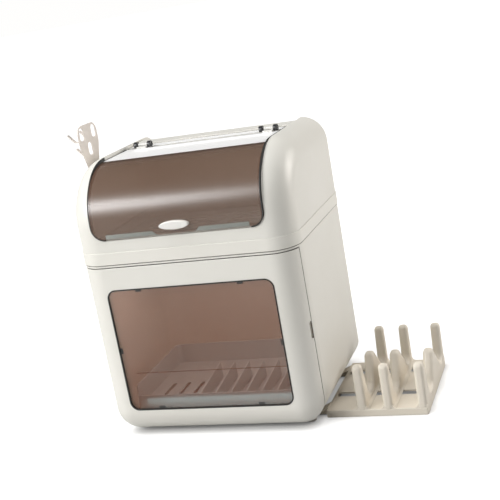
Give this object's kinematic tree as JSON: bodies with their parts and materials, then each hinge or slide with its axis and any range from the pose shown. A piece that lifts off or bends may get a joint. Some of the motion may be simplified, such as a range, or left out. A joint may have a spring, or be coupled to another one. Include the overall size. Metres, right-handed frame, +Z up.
{
  "type": "tableware storage box",
  "caption": "Tableware storage box with a windowed door, a curved see-through lid, a side rack that slides out and a lift-off hook board.",
  "frame": {"origin": "on the floor, under the middle of the cabinet", "axes": "+X to the side rack, on the right as one faces the door; +Y to the back; +Z up"},
  "size_m": [0.5701, 0.336, 0.5273],
  "materials": {
    "body_cream": "warm cream, satin",
    "band_cream": "slightly yellower cream, satin",
    "lid_white": "white, glossy",
    "lid_smoke": "smoky brown, see-through, glossy",
    "window_smoke": "smoky brown, see-through, glossy",
    "handle_white": "white, glossy",
    "hinge_white": "white, satin",
    "knob_dark": "near black, satin",
    "clip_dark": "near black, satin",
    "seal_dark": "near black, dull",
    "foot_rubber": "grey beige, dull",
    "steel": "plain steel",
    "magnet": "dark grey",
    "drain_tray": "grey, satin",
    "drip_tray": "pale grey green, satin",
    "basket_clear": "pale grey, satin",
    "rack_beige": "warm beige, satin",
    "board_beige": "pinkish beige, satin"
  },
  "bodies": {
    "box": {"cabinet_shell": "body_cream", "front_rail": "body_cream", "deck_frame": "band_cream", "drain_tray": "drain_tray", "drip_tray": "drip_tray", "plate_basket": "basket_clear", "hood_shell": "body_cream", "lid_hinge_bracket_left": "hinge_white", "lid_hinge_bracket_right": "hinge_white", "lid_pin_left": "steel", "lid_pin_right": "steel", "lid_pin_caps": "knob_dark", "lid_bracket_screws": "steel", "door_hinge_arm_upper": "body_cream", "door_hinge_arm_lower": "body_cream", "hinge_arm_screws": "steel", "catch_plate": "steel", "feet": "foot_rubber", "rack_guide_front": "rack_beige", "rack_guide_back": "rack_beige", "guide_screws": "steel", "hook_holder": "board_beige", "holder_screws": "steel"},
    "lid": {"lid_panel": "lid_smoke", "lid_side_seals": "seal_dark", "lid_top_plate": "lid_white", "lid_handle": "handle_white", "lid_hinge_strap_left": "hinge_white", "lid_hinge_strap_right": "hinge_white"},
    "door": {"door_frame": "body_cream", "door_window": "window_smoke", "window_gasket": "seal_dark", "window_clips": "clip_dark", "door_magnet": "magnet", "door_pin_upper": "steel", "door_pin_lower": "steel"},
    "rack": {"side_rack_base": "rack_beige", "rack_divider_inner": "rack_beige", "rack_divider_middle": "rack_beige", "rack_divider_outer": "rack_beige"},
    "hooks": {"hook_board": "board_beige"}
  },
  "joints": [
    {"name": "lid_hinge", "type": "hinge", "parent": "box", "child": "lid", "pos_m": [0, 0.0305, 0.4727], "axis": [-1, 0, 0], "range_deg": [0, 115]},
    {"name": "door_hinge", "type": "hinge", "parent": "box", "child": "door", "pos_m": [-0.17756, -0.1398, 0.15], "axis": [0, 0, -1], "range_deg": [0, 100]},
    {"name": "rack_slide", "type": "slide", "parent": "box", "child": "rack", "axis": [1, 0, 0], "range_m": [0, 0.06]},
    {"name": "hook_board_lift", "type": "slide", "parent": "box", "child": "hooks", "axis": [0, 0, 1], "range_m": [0, 0.05]}
  ]
}
